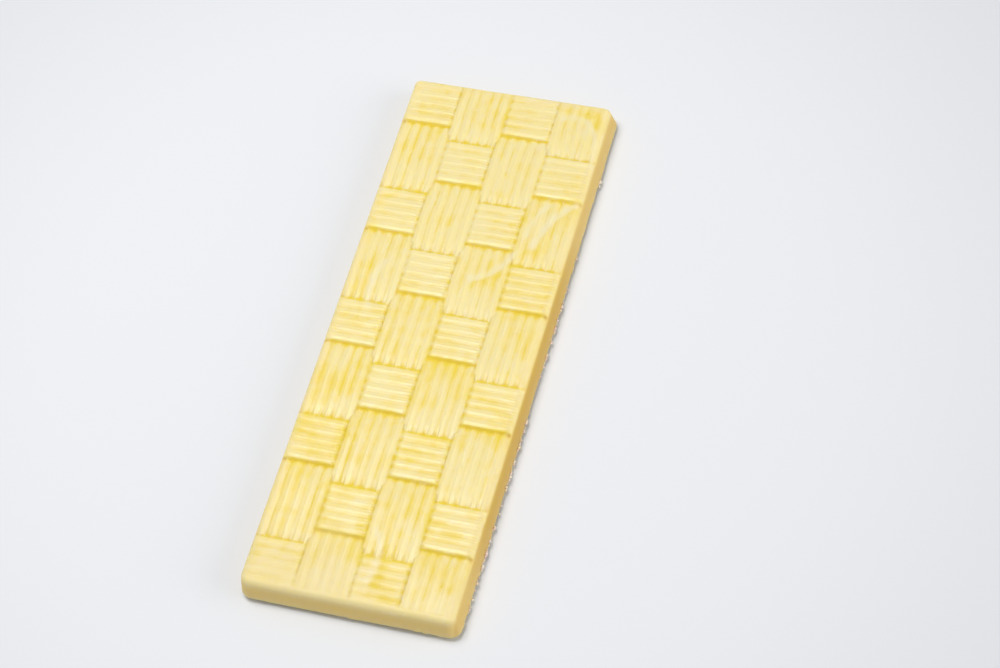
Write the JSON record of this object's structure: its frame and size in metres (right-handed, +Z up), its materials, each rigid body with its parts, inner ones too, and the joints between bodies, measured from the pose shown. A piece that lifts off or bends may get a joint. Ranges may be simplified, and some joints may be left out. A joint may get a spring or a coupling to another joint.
{
  "type": "chocolate bar",
  "caption": "Slim white chocolate bar with a basket-weave face, its poured back strewn with cake crumbs and sugar sprinkles.",
  "frame": {"origin": "on the floor under the middle of the bar", "axes": "+Y along the bar's length, +X across it, +Z up through the woven face"},
  "size_m": [0.057, 0.1606, 0.0072],
  "materials": {
    "chocolate": "smooth moulded white chocolate, soft sheen, pale butter yellow, deeper in the grooves",
    "crumbs": "dry pinkish cream cake crumbs, matt and grainy",
    "sugar_white": "hard coloured sugar, smooth, slight shine",
    "sugar_teal": "hard coloured sugar, smooth, slight shine",
    "sugar_purple": "hard coloured sugar, smooth, slight shine",
    "sugar_magenta": "hard coloured sugar, smooth, slight shine",
    "sugar_pink": "hard coloured sugar, smooth, slight shine",
    "sugar_orange": "hard coloured sugar, smooth, slight shine",
    "sugar_yellow": "hard coloured sugar, smooth, slight shine",
    "sugar_green": "hard coloured sugar, smooth, slight shine"
  },
  "bodies": {
    "root": {"bar": "chocolate"}
  },
  "joints": []
}
